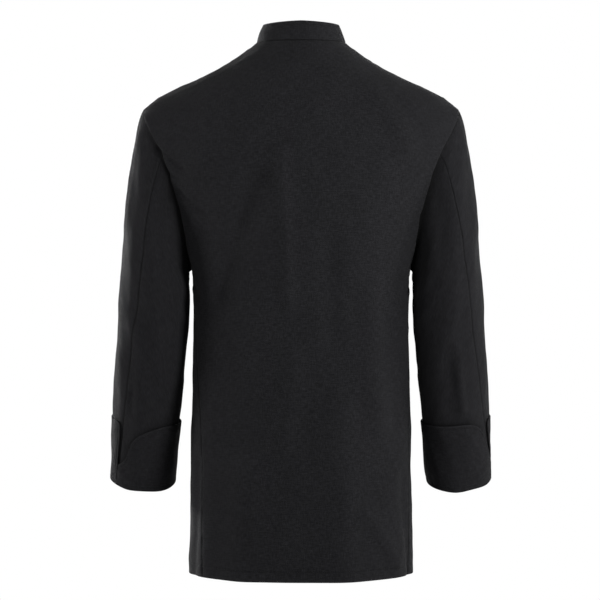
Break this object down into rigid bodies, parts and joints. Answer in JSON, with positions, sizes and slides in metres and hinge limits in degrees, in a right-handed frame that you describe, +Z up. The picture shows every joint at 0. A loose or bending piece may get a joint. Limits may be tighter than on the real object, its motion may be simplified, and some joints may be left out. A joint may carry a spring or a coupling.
{
  "type": "chef jacket",
  "caption": "Long-sleeved double-breasted chef jacket with a stand collar, seamed sleeves and turn-back cuffs slit at the back, filled out, hollow and open.",
  "frame": {"origin": "midway between the two side neck points, level with the top of the shoulders, where the wearer's shoulders carry the jacket", "axes": "+Z up the jacket, -Y out of the front, +X towards the wearer's left"},
  "size_m": [0.5984, 0.2748, 0.8527],
  "materials": {
    "twill": "matt black cotton-blend twill",
    "button": "satin black plastic"
  },
  "bodies": {
    "root": {"back": "twill", "front_left": "twill", "front_right": "twill", "collar": "twill", "sleeve_left_top": "twill", "sleeve_left_under": "twill", "sleeve_right_top": "twill", "sleeve_right_under": "twill", "cuff_left": "twill", "cuff_right": "twill", "button_left_1": "button", "button_left_2": "button", "button_left_3": "button", "button_left_4": "button", "button_left_5": "button", "button_right_1": "button", "button_right_2": "button", "button_right_3": "button", "button_right_4": "button", "button_right_5": "button"}
  },
  "joints": []
}
